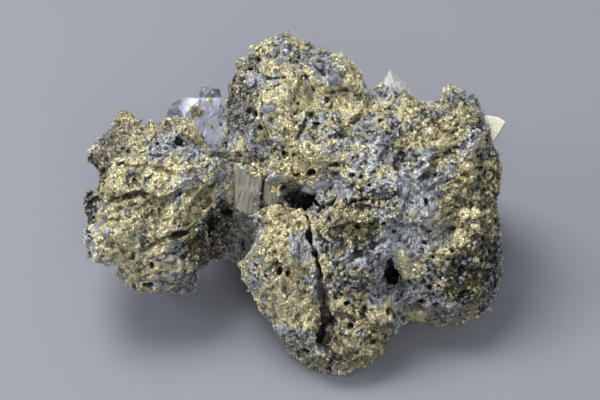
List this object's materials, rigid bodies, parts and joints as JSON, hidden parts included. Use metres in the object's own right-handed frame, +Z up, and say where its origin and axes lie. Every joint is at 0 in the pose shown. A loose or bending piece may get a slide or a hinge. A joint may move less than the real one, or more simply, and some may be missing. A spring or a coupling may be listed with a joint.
{
  "type": "chalcopyrite specimen",
  "caption": "Rough hand-sized lump of massive brassy chalcopyrite and grey galena, with larger crystals set in it, resting on its flat underside.",
  "frame": {"origin": "on the surface the lump rests on, under the middle of its box", "axes": "+X to the right along the lump's long side, +Y away from the viewer, +Z up"},
  "size_m": [0.127, 0.0998, 0.0737],
  "materials": {
    "chalcopyrite": "rough broken brassy sulphide, glinting, with grey galena grains",
    "galena": "smooth cleaved lead grey, metallic",
    "siderite": "striated tan, satin",
    "quartz": "cloudy clear crystal",
    "calcite": "cream, matt"
  },
  "bodies": {
    "root": {"sulphide_mass": "chalcopyrite", "galena_crystals": "galena", "siderite_large": "siderite", "siderite_small": "siderite", "quartz_points": "quartz", "calcite_plate": "calcite"}
  },
  "joints": []
}
